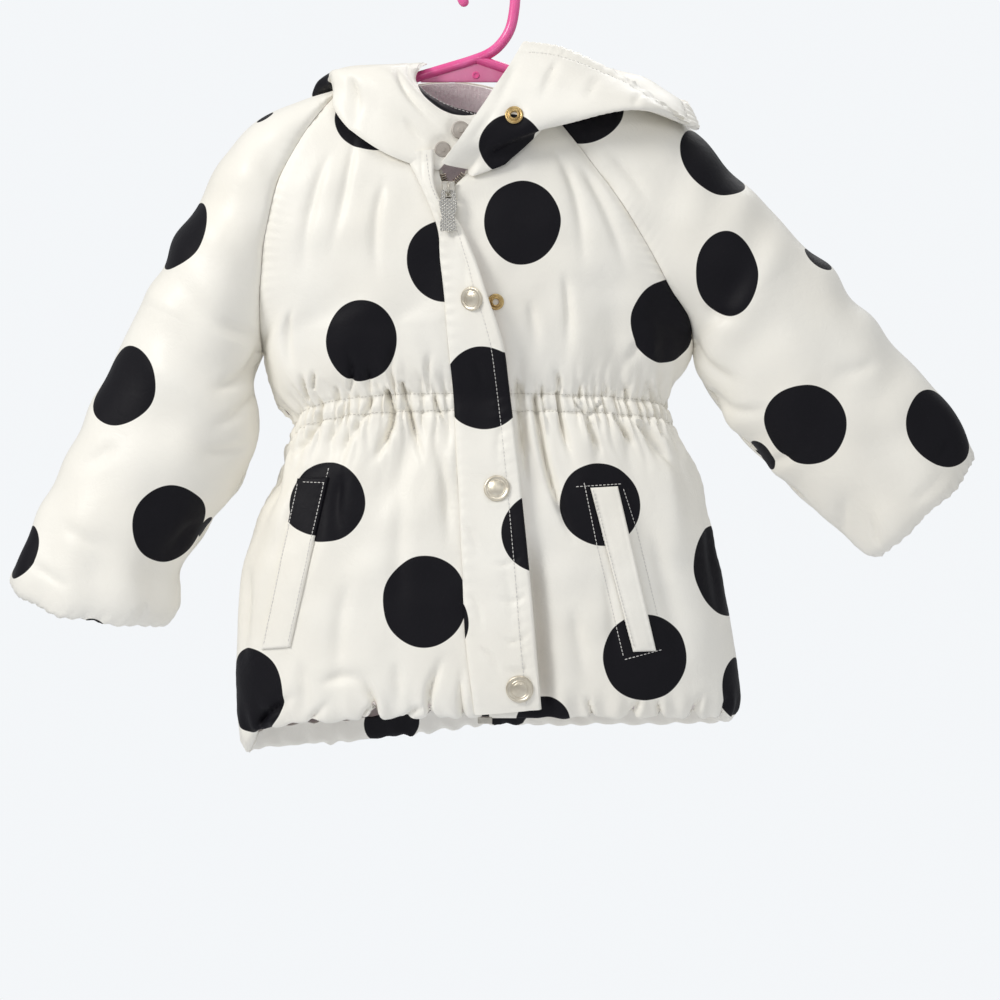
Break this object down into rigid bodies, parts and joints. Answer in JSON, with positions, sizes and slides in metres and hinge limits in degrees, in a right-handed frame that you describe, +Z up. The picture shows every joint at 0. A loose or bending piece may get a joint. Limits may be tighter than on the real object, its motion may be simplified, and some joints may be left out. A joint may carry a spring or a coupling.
{
  "type": "fleece-lined hooded coat on a hanger",
  "caption": "Child's padded polka-dot coat with raglan sleeves, gathered waist, zip under a snapped storm flap, welt pockets and a folded-back hood, on a plastic hanger.",
  "frame": {"origin": "inner crest of the hanger's hook, where it rests on a rail", "axes": "+X to the viewer's right across the coat, -Y the coat's front, +Z up"},
  "size_m": [0.6786, 0.1836, 0.5524],
  "materials": {
    "satin": "cream satin with large black polka dots, quilted soft and padded",
    "fleece": "pinkish grey short fleece",
    "tape": "woven cream zip tape",
    "nickel": "dull nickel",
    "brass": "worn brass",
    "champagne": "pale champagne gold plating",
    "snap_grey": "grey beige lacquer",
    "pink": "moulded pink plastic"
  },
  "bodies": {
    "coat": {"front_right": "satin", "front_left": "satin", "back": "satin", "sleeve_right": "satin", "sleeve_left": "satin", "hood_right": "satin", "hood_left": "satin", "storm_flap": "satin", "pocket_welt_right": "satin", "pocket_welt_left": "satin", "neck_lining": "fleece", "zip_tape_right": "tape", "zip_tape_left": "tape", "zip_teeth": "nickel", "zip_slider": "nickel", "zip_box": "nickel", "snap_cap_top": "champagne", "snap_cap_middle": "champagne", "snap_cap_low": "champagne", "snap_socket_front": "brass", "snap_socket_hood": "brass", "snap_back_upper": "snap_grey", "snap_back_lower": "snap_grey", "hanger": "pink"},
    "pull": {"zip_pull": "nickel"}
  },
  "joints": [
    {"name": "pull_swing", "type": "hinge", "parent": "coat", "child": "pull", "pos_m": [-0.02735, -0.0619, -0.1624], "axis": [-1, 0, 0], "range_deg": [0, 110]}
  ]
}
